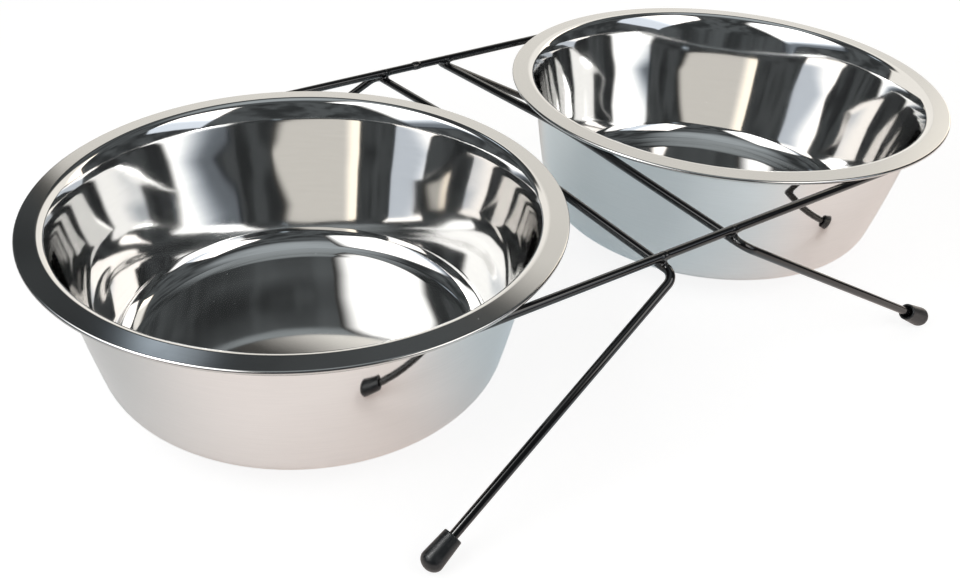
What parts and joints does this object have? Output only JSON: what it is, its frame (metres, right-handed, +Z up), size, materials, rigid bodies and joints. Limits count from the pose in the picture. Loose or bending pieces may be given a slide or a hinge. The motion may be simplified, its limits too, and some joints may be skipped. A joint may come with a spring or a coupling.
{
  "type": "dog feeder stand",
  "caption": "Low black wire stand on splayed, rubber-capped legs that holds lift-out polished steel food and water bowls side by side.",
  "frame": {"origin": "On the floor, midway between the axes of the bowls and midway between the rails.", "axes": "+X to the right bowl, +Y to the back rail, +Z up."},
  "size_m": [0.467, 0.268, 0.083],
  "materials": {
    "bowl_steel": "polished",
    "coated_wire": "gloss",
    "cap_rubber": "matte"
  },
  "bodies": {
    "stand": {"rail_loop": "coated_wire", "rail_weld": "coated_wire", "cross_wire_left": "coated_wire", "cross_wire_right": "coated_wire", "weld_front_left": "coated_wire", "weld_front_right": "coated_wire", "weld_back_left": "coated_wire", "weld_back_right": "coated_wire", "cap_front_left": "cap_rubber", "cap_front_right": "cap_rubber", "cap_back_left": "cap_rubber", "cap_back_right": "cap_rubber"},
    "bowl_left": {"bowl_left": "bowl_steel"},
    "bowl_right": {"bowl_right": "bowl_steel"}
  },
  "joints": [
    {"name": "bowl_left_lift", "type": "slide", "parent": "stand", "child": "bowl_left", "axis": [0, 0, 1], "range_m": [0, 0.1]},
    {"name": "bowl_right_lift", "type": "slide", "parent": "stand", "child": "bowl_right", "axis": [0, 0, 1], "range_m": [0, 0.1]}
  ]
}
